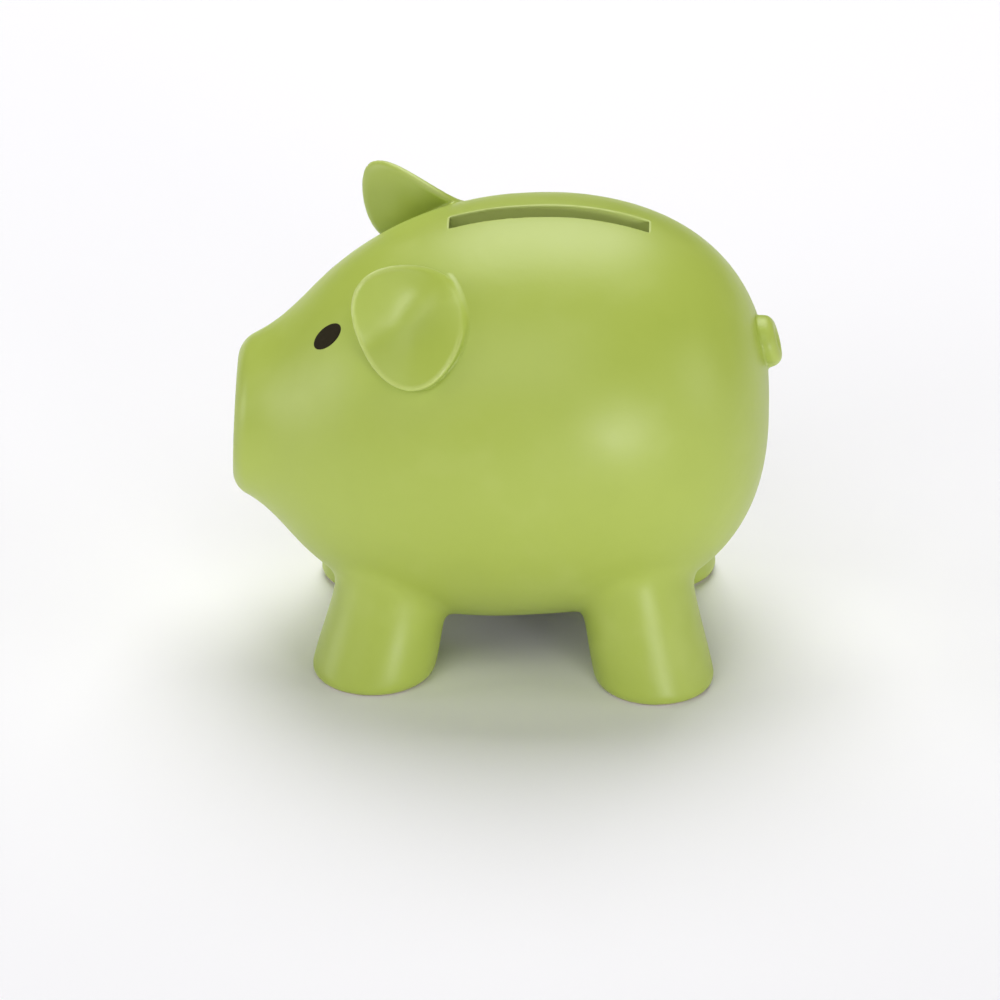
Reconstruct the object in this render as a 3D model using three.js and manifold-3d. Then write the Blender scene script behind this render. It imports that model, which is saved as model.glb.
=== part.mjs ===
// Pig-shaped coin bank, standing on its four feet.
// Millimetres. +Z is up and the snout points along -X. The origin is on the floor, under the middle.
import * as THREE from 'three';
import { mergeVertices } from 'three/addons/utils/BufferGeometryUtils.js';
import Module from 'manifold-3d';

const wasm = await Module();
wasm.setup();

// ---- Driving dimensions ----
const wall = 3.5; // thickness of the hollow shell
const gap = 0.3; // space left between pieces that touch

// Trunk and head: one rounded form whose cross-sections are ellipses.
const trunkMiddleX = 2.5;
const trunkMiddleZ = 47.7;
const trunkFront = 50.3; // from the middle of the trunk forward to the end of the rounded form
const trunkRear = 47.5; // from the middle of the trunk back to the rump
const trunkHalfHeight = 41;
const frontRoundness = 2.1; // 2 is an ellipse, more is squarer
const rearRoundness = 2.47;
const trunkWidthRatio = 0.942; // width over height
const headDrop = 4.6; // how far the head's axis lies below the trunk's
const headDropFrom = 15.6;
const headDropLength = 66.5;

// Snout: a short flared disc that runs into the head.
const snoutFaceX = -52.2;
const snoutRadius = 13.9;
const snoutFlare = 0.42; // growth in radius for each millimetre back
const snoutRim = 2.6; // rounding of its front edge
const snoutWidthRatio = 1.03;
const snoutRise = 1.45; // how far its middle lies above the head's axis
const snoutTilt = 0.043; // the face looks up a little
const snoutBlend = 6;
const nostrilRadius = 2.2;
const nostrilSpacing = 10.4;

// Coin slot along the back.
const slotLength = 38;
const slotWidth = 5;
const slotMiddleX = 7.7;

// Legs: short solid columns that lean outward on the way down.
const soleInset = 1.9; // how much smaller the sole is than the foot
const footEdge = 2.6; // height at which the foot is widest
const legRadius = 11.1;
const legTop = 33;
const legLeanIn = 0.22; // shift of the leg's axis toward the middle for each millimetre up
const frontLeg = { x: -25.7, y: 21.1, lean: 0.236, footRadius: 11.8 };
const hindLeg = { x: 28.9, y: 23.8, lean: -0.216, footRadius: 11.5 };

// Ears: thick leaves, a little dished, lying on the head at the root and standing free at the tip.
const earCentre = new THREE.Vector3(-18, -25.4, 75.7);
const earRadius = 10.5;
const earThickness = 2.6;
const earDish = 1.4;
const earLift = 0.7; // how far the face stands off the head at the middle
const earTurn = THREE.MathUtils.degToRad(9.4); // the face turns this far toward the snout
const earTilt = THREE.MathUtils.degToRad(21.5); // and this far upward
const earTwist = -0.026; // raises the tip and the lower back edge off the head
const earSlope = -0.2;
const earTipAngle = THREE.MathUtils.degToRad(125);
const earRootAngle = THREE.MathUtils.degToRad(-80);
const earCrownAngle = THREE.MathUtils.degToRad(75);
const earFrontAngle = THREE.MathUtils.degToRad(205);
const earTipCurl = 0.046; // the tip curls outward
const earCrownCurl = -0.028; // the upper edge curls in onto the head
const earFrontCurl = 0.025; // the front edge curls outward

// Eyes: thin oval discs let into the head.
const eyeX = -34.1;
const eyeLift = THREE.MathUtils.degToRad(57.7); // angle round the head, from level with its axis
const eyeHalfLength = 3.6;
const eyeHalfHeight = 2.45;
const eyeTurn = THREE.MathUtils.degToRad(10); // the oval rises toward the rump by this much
const eyeHalfThickness = 0.9;

// Tail: one turn of a short round coil, flat against the rump.
const tailCentre = new THREE.Vector3(48.85, 0, 60.8);
const tailTube = 2.3;
const tailCurl = 3.4;
const tailTilt = 0.3;

// Belly hole and the soft stopper that closes it.
const holeX = 2.5;
const holeRadius = 13.3;
const seatZ = 11.8; // underside of the ring that the stopper's flange rests against
const collarRadius = 18.6;
const collarTop = 15.4;
const flangeRadius = 15.2;
const flangeEdgeZ = 10.1;
const flangeMiddleZ = 7.5; // the flange is domed, like the belly round it
const neckTop = 15.4;
const neckWall = 2;
const gripRadius = 7;
const gripDepth = 2.2;
const gripBarWidth = 2.8;

// ---- Materials ----
const glaze = new THREE.MeshStandardMaterial({ color: 0xb2c35d, roughness: 0.55, metalness: 0 });
const eyePaint = new THREE.MeshStandardMaterial({ color: 0x1d1812, roughness: 0.5, metalness: 0 });
const rubber = new THREE.MeshStandardMaterial({ color: 0x4c4c4a, roughness: 0.8, metalness: 0 });

// ---- Joining and cutting ----
function toSolid(geometry) {
  const bare = geometry.clone();
  bare.deleteAttribute('normal');
  bare.deleteAttribute('uv');
  const merged = mergeVertices(bare, 1e-3);
  const triVerts = new Uint32Array(merged.index.array);
  const vertProperties = new Float32Array(merged.attributes.position.array);
  return new wasm.Manifold(new wasm.Mesh({ numProp: 3, vertProperties, triVerts }));
}

function toGeometry(solid) {
  const mesh = solid.getMesh();
  const geometry = new THREE.BufferGeometry();
  geometry.setAttribute('position', new THREE.BufferAttribute(new Float32Array(mesh.vertProperties), 3));
  geometry.setIndex(new THREE.BufferAttribute(new Uint32Array(mesh.triVerts), 1));
  geometry.computeVertexNormals();
  return geometry;
}

function mapVertices(geometry, move) {
  const place = geometry.attributes.position;
  const point = new THREE.Vector3();
  for (let i = 0; i < place.count; i += 1) {
    point.fromBufferAttribute(place, i);
    move(point);
    place.setXYZ(i, point.x, point.y, point.z);
  }
  return geometry;
}

// A turned shape about the vertical axis, from [radius, height] pairs running bottom to top.
function turned(pairs, segments) {
  const profile = pairs.map(([radius, height]) => new THREE.Vector2(radius, height));
  const geometry = new THREE.LatheGeometry(profile, segments);
  return geometry.rotateX(Math.PI / 2);
}

// A mirror copy across the middle plane, with its faces turned the right way out again.
function mirrored(geometry) {
  const copy = mapVertices(geometry.clone(), (point) => {
    point.y = -point.y;
  });
  const order = copy.index;
  for (let i = 0; i < order.count; i += 3) {
    const second = order.getX(i + 1);
    order.setX(i + 1, order.getX(i + 2));
    order.setX(i + 2, second);
  }
  copy.computeVertexNormals();
  return copy;
}

// ---- Trunk and head ----
function ease(share) {
  const t = THREE.MathUtils.clamp(share, 0, 1);
  return t * t * (3 - 2 * t);
}

function softMax(a, b, reach) {
  const share = THREE.MathUtils.clamp(0.5 + (0.5 * (a - b)) / reach, 0, 1);
  return b + (a - b) * share + reach * share * (1 - share);
}

// Half the height of the body's cross-section at x. A skin inset by some amount is smaller all round.
function bodyRadius(x, inset) {
  const front = x < trunkMiddleX;
  const reach = (front ? trunkFront : trunkRear) - inset;
  const roundness = front ? frontRoundness : rearRoundness;
  const share = Math.min(Math.abs(x - trunkMiddleX) / reach, 1);
  const trunk = (trunkHalfHeight - inset) * (1 - share ** roundness) ** (1 / roundness);
  if (!front) {
    return trunk;
  }
  const behindFace = Math.min(x - snoutFaceX, 25);
  const snout = snoutRadius - inset + snoutFlare * behindFace;
  return softMax(trunk, snout, snoutBlend);
}

function bodyAxisZ(x) {
  const drop = headDrop * ease((headDropFrom - x) / headDropLength);
  const snout = snoutRise * ease((-38 - x) / 12);
  return trunkMiddleZ - drop + snout;
}

function widthRatio(x) {
  return THREE.MathUtils.lerp(snoutWidthRatio, trunkWidthRatio, ease((x - snoutFaceX) / 20));
}

function bodyProfile(inset, stations) {
  const face = snoutFaceX + inset;
  const rim = Math.max(snoutRim - inset, 0.8);
  const rimX = face + rim;
  const pairs = [[0, face]];
  const rimSteps = 4;
  for (let i = 0; i <= rimSteps; i += 1) {
    const turn = (i / rimSteps) * (Math.PI / 2);
    const x = rimX - rim * Math.cos(turn);
    pairs.push([bodyRadius(rimX, inset) - rim * (1 - Math.sin(turn)), x]);
  }
  const rumpX = trunkMiddleX + trunkRear - inset;
  for (let i = 1; i < stations; i += 1) {
    const share = i / stations;
    const x = rimX + (rumpX - rimX) * Math.sin((share * Math.PI) / 2) ** 0.94;
    pairs.push([bodyRadius(x, inset), x]);
  }
  pairs.push([0, rumpX]);
  return pairs;
}

function bodySkin(inset, stations, segments) {
  const geometry = turned(bodyProfile(inset, stations), segments);
  geometry.rotateY(Math.PI / 2);
  return mapVertices(geometry, (point) => {
    const x = point.x;
    const snoutShare = 1 - ease((x - snoutFaceX) / 12);
    point.x = x + snoutShare * snoutTilt * point.z;
    point.y = point.y * widthRatio(x);
    point.z = point.z + bodyAxisZ(x);
  });
}

// ---- Legs ----
function legSkin(leg, side, segments) {
  const sole = leg.footRadius - soleInset;
  const pairs = [
    [0, 0],
    [sole, 0],
    [sole + 0.65 * soleInset, footEdge * 0.22],
    [leg.footRadius, footEdge],
    [THREE.MathUtils.lerp(leg.footRadius, legRadius, 0.45), 9],
    [legRadius, 17],
    [legRadius, legTop],
    [0, legTop],
  ];
  return mapVertices(turned(pairs, segments), (point) => {
    const height = point.z;
    point.x += leg.x + leg.lean * height;
    point.y += side * (leg.y - legLeanIn * height);
  });
}

function allLegs(segments) {
  const legs = [];
  for (const side of [-1, 1]) {
    for (const leg of [frontLeg, hindLeg]) {
      legs.push(toSolid(legSkin(leg, side, segments)));
    }
  }
  return legs;
}

// ---- Eyes ----
function eyePlace(side) {
  const radius = bodyRadius(eyeX, 0);
  const width = radius * widthRatio(eyeX);
  const around = (angle, x) => {
    const high = bodyRadius(x, 0);
    return new THREE.Vector3(
      x,
      side * high * widthRatio(x) * Math.cos(angle),
      bodyAxisZ(x) + high * Math.sin(angle),
    );
  };
  const centre = around(eyeLift, eyeX);
  const along = around(eyeLift, eyeX + 0.5).sub(centre).normalize();
  const upward = around(eyeLift + 0.5 / width, eyeX).sub(centre).normalize();
  const normal = along.clone().cross(upward).normalize();
  if (normal.z < 0) {
    normal.negate();
  }
  const lengthways = along.multiplyScalar(Math.cos(eyeTurn)).addScaledVector(upward, Math.sin(eyeTurn));
  lengthways.addScaledVector(normal, -lengthways.dot(normal)).normalize();
  const heightways = normal.clone().cross(lengthways);
  return { centre, normal, turn: new THREE.Matrix4().makeBasis(lengthways, heightways, normal) };
}

function eyeLens(side, grow) {
  const { centre, normal, turn } = eyePlace(side);
  const lens = new THREE.SphereGeometry(1, 20, 8);
  lens.rotateX(Math.PI / 2);
  lens.scale(eyeHalfLength + grow, eyeHalfHeight + grow, eyeHalfThickness + grow);
  lens.applyMatrix4(turn);
  const sunk = centre.clone().addScaledVector(normal, -0.55);
  return lens.translate(sunk.x, sunk.y, sunk.z);
}

function eye(side) {
  return toGeometry(toSolid(eyeLens(side, 0)));
}

// ---- Ears ----
// The ear's own frame: across points toward the rump, up toward the crown, outward off the face.
function earFrame() {
  const outward = new THREE.Vector3(
    -Math.sin(earTurn) * Math.cos(earTilt),
    -Math.cos(earTurn) * Math.cos(earTilt),
    Math.sin(earTilt),
  );
  const across = new THREE.Vector3(1, 0, 0).addScaledVector(outward, -outward.x).normalize();
  const up = new THREE.Vector3().crossVectors(outward, across);
  return new THREE.Matrix4().makeBasis(across, up, outward).setPosition(earCentre);
}

function earLeaf(segments) {
  const t = earThickness;
  const pairs = [[0, -t], [0.5, -t], [0.84, -t], [0.96, -0.8 * t], [1, -0.45 * t], [0.96, -0.12 * t], [0.88, 0]];
  for (const share of [0.72, 0.5, 0.25, 0]) {
    pairs.push([share, -earDish * (1 - (share / 0.88) ** 2)]);
  }
  const leaf = turned(pairs, segments);
  mapVertices(leaf, (point) => {
    const angle = Math.atan2(point.y, point.x);
    const lobe = (toward) => Math.max(Math.cos(angle - toward), 0) ** 6;
    const reach = earRadius
      * (1 + 0.18 * lobe(earTipAngle) + 0.13 * lobe(earRootAngle) + 0.07 * lobe(earCrownAngle)
        - 0.05 * lobe(earFrontAngle));
    point.x *= reach;
    point.y *= reach;
    const curl = (toward, strength) =>
      strength * Math.max(point.x * Math.cos(toward) + point.y * Math.sin(toward), 0) ** 2;
    point.z += curl(earTipAngle, earTipCurl) + curl(earCrownAngle, earCrownCurl);
    point.z += curl(earFrontAngle, earFrontCurl);
    point.z += earLift + earTwist * point.x * point.y + earSlope * point.y;
  });
  return leaf.applyMatrix4(earFrame());
}

function leftEar() {
  const head = toSolid(bodySkin(-gap, 30, 40));
  return toGeometry(toSolid(earLeaf(36)).subtract(head));
}

// ---- Tail ----
function tail() {
  const turns = 10;
  const points = [];
  for (let i = 0; i <= turns; i += 1) {
    const share = i / turns;
    const angle = THREE.MathUtils.degToRad(-70 + 290 * share);
    const reach = tailCurl * (1 - 0.12 * share);
    const out = 0.3 + 0.9 * share;
    points.push(new THREE.Vector3(out, reach * Math.cos(angle), reach * Math.sin(angle)));
  }
  const path = new THREE.CatmullRomCurve3(points);
  const section = new THREE.Shape();
  section.absarc(0, 0, tailTube, 0, 2 * Math.PI, false);
  const coil = new THREE.ExtrudeGeometry(section, { extrudePath: path, steps: 22, curveSegments: 10 });
  coil.rotateY(-tailTilt);
  coil.translate(tailCentre.x, tailCentre.y, tailCentre.z);
  const rump = toSolid(bodySkin(-gap, 30, 40));
  return toGeometry(toSolid(coil).subtract(rump));
}

// ---- Belly hole and stopper ----
function disc(radius, bottom, top, segments) {
  const geometry = turned([[0, bottom], [radius, bottom], [radius, top], [0, top]], segments);
  return toSolid(geometry.translate(holeX, 0, 0));
}

function stopper() {
  const neck = holeRadius - gap;
  const outer = [];
  for (const share of [0, 0.25, 0.5, 0.75, 0.93]) {
    outer.push([flangeRadius * share, THREE.MathUtils.lerp(flangeMiddleZ, flangeEdgeZ - 0.3, share ** 2)]);
  }
  outer.push(
    [flangeRadius, flangeEdgeZ + 0.2],
    [flangeRadius, seatZ - gap],
    [neck - 0.5, seatZ - gap],
    [neck - 0.5, seatZ + 0.9],
    [neck, seatZ + 1.4],
    [neck - 0.5, seatZ + 1.9],
    [neck - 0.5, neckTop - 0.6],
    [neck - 1.2, neckTop],
    [neck - 0.5 - neckWall, neckTop],
    [neck - 0.5 - neckWall, seatZ + 0.2],
    [0, seatZ + 0.2],
  );
  const plug = toSolid(turned(outer, 40).translate(holeX, 0, 0));
  const recess = disc(gripRadius, flangeMiddleZ - 2, flangeMiddleZ + gripDepth, 28);
  const bar = new THREE.BoxGeometry(2 * gripRadius + 1, gripBarWidth, gripDepth);
  bar.translate(holeX, 0, flangeMiddleZ + gripDepth / 2 + 0.3);
  return toGeometry(plug.subtract(recess).add(toSolid(bar)));
}

// ---- Shell ----
function slotCut() {
  const cut = new THREE.BoxGeometry(slotLength, slotWidth, 40);
  return toSolid(cut.translate(slotMiddleX, 0, 92));
}

function nostril(side) {
  const dimple = new THREE.SphereGeometry(1, 16, 10);
  dimple.scale(1.2, nostrilRadius, nostrilRadius * 1.35);
  return toSolid(dimple.translate(snoutFaceX, (side * nostrilSpacing) / 2, bodyAxisZ(snoutFaceX)));
}

function bodyShell() {
  let outside = toSolid(bodySkin(0, 30, 44));
  for (const leg of allLegs(24)) {
    outside = outside.add(leg);
  }
  let inside = toSolid(bodySkin(wall, 22, 32));
  inside = inside.subtract(disc(collarRadius, 0, collarTop, 32));
  let shell = outside.subtract(inside);
  shell = shell.subtract(disc(holeRadius, 0, 30, 36));
  shell = shell.subtract(disc(flangeRadius + gap, 0, seatZ, 36));
  shell = shell.subtract(slotCut());
  for (const side of [-1, 1]) {
    shell = shell.subtract(nostril(side));
    shell = shell.subtract(toSolid(eyeLens(side, gap)));
  }
  return toGeometry(shell);
}

// ---- The bank ----
function piece(name, geometry, material) {
  const mesh = new THREE.Mesh(geometry, material);
  mesh.name = name;
  return mesh;
}

const bank = new THREE.Group();
bank.name = 'pig_bank';
const ear = leftEar();
bank.add(piece('body_shell', bodyShell(), glaze));
bank.add(piece('left_ear', ear, glaze));
bank.add(piece('right_ear', mirrored(ear), glaze));
bank.add(piece('tail', tail(), glaze));
bank.add(piece('left_eye', eye(-1), eyePaint));
bank.add(piece('right_eye', eye(1), eyePaint));
bank.add(piece('belly_stopper', stopper(), rubber));

export default bank;
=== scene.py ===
"""The looks of a pig-shaped coin bank, laid out as an add-on.

The sizes inside the modelling functions are in millimetres, and the finished meshes are in metres.
"""

import math

import bpy
import numpy as np
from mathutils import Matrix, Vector


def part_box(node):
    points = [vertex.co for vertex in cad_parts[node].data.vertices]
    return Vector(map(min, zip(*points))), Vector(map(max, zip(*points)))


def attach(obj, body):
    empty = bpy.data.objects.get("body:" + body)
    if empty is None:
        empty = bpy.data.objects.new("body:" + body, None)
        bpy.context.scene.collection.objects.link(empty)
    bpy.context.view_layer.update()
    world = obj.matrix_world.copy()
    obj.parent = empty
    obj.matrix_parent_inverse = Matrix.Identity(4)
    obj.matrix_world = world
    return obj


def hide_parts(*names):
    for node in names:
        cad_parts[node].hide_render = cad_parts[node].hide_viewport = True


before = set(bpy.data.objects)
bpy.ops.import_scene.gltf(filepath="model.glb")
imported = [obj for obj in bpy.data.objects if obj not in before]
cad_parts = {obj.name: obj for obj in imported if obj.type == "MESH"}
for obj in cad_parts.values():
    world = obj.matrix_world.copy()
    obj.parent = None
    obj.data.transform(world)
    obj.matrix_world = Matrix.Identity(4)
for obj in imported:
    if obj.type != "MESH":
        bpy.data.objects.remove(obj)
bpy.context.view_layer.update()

bl_info = {
    "name": "Pig coin bank",
    "version": (1, 0, 0),
    "blender": (4, 5, 0),
    "location": "View3D > Sidebar > Coin bank",
    "description": "Models and finishes a glazed pig-shaped coin bank",
    "category": "Add Mesh",
}

MM = 0.001

# Trunk and head: one rounded form whose cross-sections are ellipses.
TRUNK_MIDDLE_X = 2.5
TRUNK_MIDDLE_Z = 47.7
TRUNK_FRONT = 50.3
TRUNK_REAR = 47.5
TRUNK_HALF_HEIGHT = 41.0
FRONT_ROUNDNESS = 2.1
REAR_ROUNDNESS = 2.47
TRUNK_WIDTH_RATIO = 0.942
HEAD_DROP = 4.6
HEAD_DROP_FROM = 15.6
HEAD_DROP_LENGTH = 66.5

# Snout: a short flared disc that runs into the head.
SNOUT_FACE_X = -52.2
SNOUT_RADIUS = 13.9
SNOUT_FLARE = 0.42
SNOUT_RIM = 2.4
SNOUT_WIDTH_RATIO = 1.03
SNOUT_WIDTH_LENGTH = 20.0
SNOUT_DEPTH = 25.0
SNOUT_RISE = 1.45
SNOUT_RISE_FROM = -38.0
SNOUT_RISE_LENGTH = 12.0
SNOUT_TILT = 0.043
NOSTRIL_SPACING = 10.4
NOSTRIL_DEPTH = 1.3
NOSTRIL_HALF_WIDTH = 2.1
NOSTRIL_HALF_HEIGHT = 2.9
NOSTRIL_MEAN_SIZE = 1.8
NOSTRIL_EDGE = 0.9

# Legs: for each pair, the foot's place, the axis's shift along the body for each millimetre up,
# and the foot's radius.
FOOT_EDGE = 2.3
FOOT_WIDEST_Z = 2.6
LEG_RADIUS = 11.1
LEG_TAPER = 13.0
LEG_TOP = 33.0
LEG_LEAN_IN = 0.22
FRONT_LEG = (-25.7, 21.1, 0.236, 11.8)
HIND_LEG = (28.9, 23.8, -0.216, 11.5)

# Ears: dished leaves. The face's height is a smooth function of the place on the leaf.
EAR_CENTRE = np.array([-18.0, -25.4, 75.7])
EAR_TURN = math.radians(9.4)
EAR_TILT = math.radians(21.5)
EAR_TWIST = -0.026
EAR_SLOPE = -0.2
EAR_LIFT = 0.7
EAR_TIP_ANGLE = math.radians(125)
EAR_ROOT_ANGLE = math.radians(-80)
EAR_CROWN_ANGLE = math.radians(75)
EAR_FRONT_ANGLE = math.radians(205)
EAR_TIP_CURL = 0.046
EAR_CROWN_CURL = -0.028
EAR_FRONT_CURL = 0.025
EAR_TIP_LOBE = 0.18
EAR_ROOT_LOBE = 0.13
EAR_CROWN_LOBE = 0.07
EAR_FRONT_LOBE = 0.08
EAR_EDGE_SHARE = 0.42

# Roots of the ears and tail: how far the body is let in under the join, how far the skirt round
# the root runs in blend lengths, and how deep the root goes.
ROOT_SINK = 0.03
ROOT_SKIRT = 1.5
ROOT_DEPTH = 1.2

# Eyes: the coat's height, how far its rim is let in and how deep the dot goes.
EYE_X = -34.1
EYE_LIFT = math.radians(57.7)
EYE_TURN = math.radians(10)
EYE_COAT = 0.16
EYE_RIM = 0.06
EYE_DEPTH = 0.5
EYE_RINGS = 26
EYE_TURNS = 72

# Tail: a short coil against the rump.
TAIL_CENTRE = np.array([48.85, 0.0, 60.8])
TAIL_CURL = 3.4
TAIL_TILT = 0.3
TAIL_START_DEGREES = -70.0
TAIL_SWEEP_DEGREES = 290.0
TAIL_COIL_TIGHTENING = 0.12
TAIL_TAPER = 0.28
TAIL_OUT_START = 0.3
TAIL_OUT_RUN = 0.9

# Coin slot
SLOT_MIDDLE_X = 7.7
SLOT_BOTTOM_Z = 66.0
SLOT_CORNER = 0.4

# A blend in the sidebar is this many times shorter than the reach of the join it gives.
BLEND_REACH = 1.5

# Belly hole and stopper
HOLE_X = 2.5
HOLE_RADIUS = 13.3
HOLE_TOP = 30.0
HOLE_EDGE = 0.5
SEAT_Z = 11.8
COLLAR_RADIUS = 18.6
COLLAR_TOP = 15.4
FLANGE_RADIUS = 15.2
FLANGE_EDGE_Z = 10.1
FLANGE_MIDDLE_Z = 7.5
GRIP_RADIUS = 7.0
GRIP_DEPTH = 2.2
GAP = 0.3

# Stage, in metres: the point that every soft light faces, the point that the camera looks at, the
# lights' distance, and the white that the camera sees round the bank.
LIT_POINT = Vector((0.0, 0.0, 0.04))
VIEW_TARGET = Vector((-0.00164, 0.0, 0.0265))
LIGHT_DISTANCE = 1.3
SURROUND_WHITE = (0.98, 0.98, 0.98, 1.0)

# The floor turns white between these distances from the bank, in metres.
FLOOR_FADE = (0.3, 0.75)

# Soft lights: turn from the front toward the rump and height over the floor in degrees, size in
# metres and power in watts.
SOFT_LIGHTS = (
    ("overhead", 180.0, 60.0, 1.1, 16.6),
    ("front", -10.0, 45.0, 0.9, 4.6),
    ("snout_side", -90.0, 12.0, 0.6, 4.0),
    ("snout_front", -45.0, 22.0, 0.6, 1.8),
    ("rump_side", 75.0, 15.0, 0.6, 2.5),
    ("low_front", 27.0, 4.0, 0.3, 6.0),
)


# ---- What a user would change ----
def length(name, description, millimetres):
    """A size in the sidebar, held in metres."""
    return bpy.props.FloatProperty(
        name=name,
        description=description,
        default=millimetres * MM,
        min=0.0,
        unit="LENGTH",
    )


def share(name, description, default):
    """A strength from none to full."""
    return bpy.props.FloatProperty(
        name=name,
        description=description,
        default=default,
        min=0.0,
        max=1.0,
        subtype="FACTOR",
    )


def colour(name, description, default):
    """A colour of a finish, as linear red, green and blue."""
    return bpy.props.FloatVectorProperty(
        name=name,
        description=description,
        default=default,
        min=0.0,
        max=1.0,
        size=3,
        subtype="COLOR",
    )


class BankShape(bpy.types.PropertyGroup):
    """Sizes of the bank that can be changed without touching its overall form."""

    wall: length("Wall", "Thickness of the hollow shell", 3.5)
    slot_length: length("Slot length", "Length of the coin slot along the back", 38.0)
    slot_width: length("Slot width", "Width of the coin slot", 5.0)
    slot_edge: length("Slot edge", "Softness of the edge round the coin slot", 0.45)
    snout_blend: length("Snout blend", "How softly the snout runs into the head", 6.0)
    leg_blend: length("Leg blend", "How softly the legs run into the belly", 2.4)
    root_blend: length("Root blend", "How softly the ears and tail run into the body", 1.6)
    ear_radius: length("Ear radius", "Radius of an ear's outline", 10.5)
    ear_thickness: length("Ear thickness", "Thickness of an ear", 2.6)
    ear_dish: length("Ear dish", "How deep the hollow in an ear's face is", 1.4)
    tail_radius: length("Tail radius", "Radius of the tail where it is thickest", 2.3)
    eye_length: length("Eye length", "Half the length of the painted eye", 3.6)
    eye_height: length("Eye height", "Half the height of the painted eye", 2.45)


class BankFinish(bpy.types.PropertyGroup):
    """Colours and textures of the bank."""

    glaze: colour("Glaze", "Main colour of the glaze", (0.42, 0.518, 0.084))
    # This colour is also used as painted light on the slot's walls.
    glaze_thin: colour("Thin glaze", "Glaze where it runs thin over an edge", (0.56, 0.65, 0.2))
    glaze_thick: colour("Thick glaze", "Glaze where it pools in a hollow", (0.34, 0.43, 0.058))
    bare_clay: colour("Bare clay", "Unglazed clay under the feet", (0.72, 0.64, 0.50))
    eye_paint: colour("Eye paint", "Dark paint of the eyes", (0.018, 0.014, 0.006))
    rubber: colour("Rubber", "Rubber of the belly stopper", (0.075, 0.075, 0.072))
    mottling: share("Mottling", "Strength of the glaze's slow changes in tone", 0.35)
    orange_peel: share("Orange peel", "Strength of the glaze's fine unevenness", 0.3)


class StageSettings(bpy.types.PropertyGroup):
    """Camera and light."""

    view_turn: bpy.props.FloatProperty(
        name="View turn",
        description="How far the camera stands round toward the rump",
        default=math.radians(1.5),
        subtype="ANGLE",
    )
    view_height: bpy.props.FloatProperty(
        name="View height",
        description="How far the camera looks down",
        default=math.radians(27.0),
        subtype="ANGLE",
    )
    view_distance: length("View distance", "From the camera to what it looks at", 2000.0)
    view_width: length("View width", "How much the view takes in at that distance", 192.9)
    lamp_power: bpy.props.FloatProperty(
        name="Lamp power",
        description="Power of all the soft lights, where 1 is as designed",
        default=1.0,
        min=0.0,
    )
    surround: share("Surround", "Brightness of the even light from all round", 0.0)
    floor: colour("Floor", "Colour of the floor", (0.95, 0.94, 0.965))


# ---- Fields: below zero inside a form, above zero outside, about the distance in millimetres ----
def ease(value):
    """A smooth step from 0 to 1."""
    t = np.clip(value, 0.0, 1.0)
    return t * t * (3.0 - 2.0 * t)


def soft_join(a, b, reach):
    """Two forms joined, with the corner between them filled over that reach."""
    near = np.maximum(reach - np.abs(a - b), 0.0) / reach
    return np.minimum(a, b) - near**3 * reach / 6.0


def soft_cut(a, b, reach):
    """Form a with form b cut out of it, and the new edge softened over that reach."""
    return -soft_join(-a, b, reach)


def rounded(first, second, radius):
    """The part inside both fields, with a round edge of that radius where they meet."""
    one = first + radius
    two = second + radius
    outer = np.hypot(np.maximum(one, 0.0), np.maximum(two, 0.0))
    return outer + np.minimum(np.maximum(one, two), 0.0) - radius


def axis_z(x):
    """Height of the body's axis at a place along it."""
    drop = HEAD_DROP * ease((HEAD_DROP_FROM - x) / HEAD_DROP_LENGTH)
    snout = SNOUT_RISE * ease((SNOUT_RISE_FROM - x) / SNOUT_RISE_LENGTH)
    return TRUNK_MIDDLE_Z - drop + snout


def width_ratio(x):
    blend = ease((x - SNOUT_FACE_X) / SNOUT_WIDTH_LENGTH)
    return SNOUT_WIDTH_RATIO + (TRUNK_WIDTH_RATIO - SNOUT_WIDTH_RATIO) * blend


def from_axis(p):
    """Distance from the body's axis, as it is at the top and bottom of each cross-section."""
    x = p[:, 0]
    return np.hypot(p[:, 1] / width_ratio(x), p[:, 2] - axis_z(x))


def trunk(p, inset=0.0):
    """The trunk and head, or the hollow inside them."""
    x = p[:, 0] - TRUNK_MIDDLE_X
    front = x < 0.0
    reach = np.where(front, TRUNK_FRONT, TRUNK_REAR) - inset
    roundness = np.where(front, FRONT_ROUNDNESS, REAR_ROUNDNESS)
    half = TRUNK_HALF_HEIGHT - inset
    along = (np.abs(x) / reach) ** roundness
    across = (from_axis(p) / half) ** roundness
    return half * ((along + across) ** (1.0 / roundness) - 1.0)


def snout(p):
    """The flared disc of the snout."""
    behind = p[:, 0] - SNOUT_FACE_X - SNOUT_TILT * (p[:, 2] - axis_z(p[:, 0]))
    radius = SNOUT_RADIUS + SNOUT_FLARE * np.clip(behind, 0.0, SNOUT_DEPTH)
    side = (from_axis(p) - radius) / math.hypot(1.0, SNOUT_FLARE)
    form = rounded(side, -behind, SNOUT_RIM)
    return np.maximum(form, behind - SNOUT_DEPTH)


def nostril(p):
    """Both nostril dimples."""
    x = (p[:, 0] - SNOUT_FACE_X) / NOSTRIL_DEPTH
    y = (np.abs(p[:, 1]) - NOSTRIL_SPACING / 2.0) / NOSTRIL_HALF_WIDTH
    z = (p[:, 2] - axis_z(SNOUT_FACE_X)) / NOSTRIL_HALF_HEIGHT
    return NOSTRIL_MEAN_SIZE * (np.sqrt(x * x + y * y + z * z) - 1.0)


def leg(p, leg_place):
    """The pair of legs, left and right, at one place along the body."""
    foot_x, foot_y, lean, foot_radius = leg_place
    height = p[:, 2]
    x = p[:, 0] - foot_x - lean * height
    y = np.abs(p[:, 1]) - foot_y + LEG_LEAN_IN * height
    slim = ease((height - FOOT_WIDEST_Z) / LEG_TAPER)
    radius = foot_radius + (LEG_RADIUS - foot_radius) * slim
    form = rounded(np.hypot(x, y) - radius, -height, FOOT_EDGE)
    return np.maximum(form, height - LEG_TOP)


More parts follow.
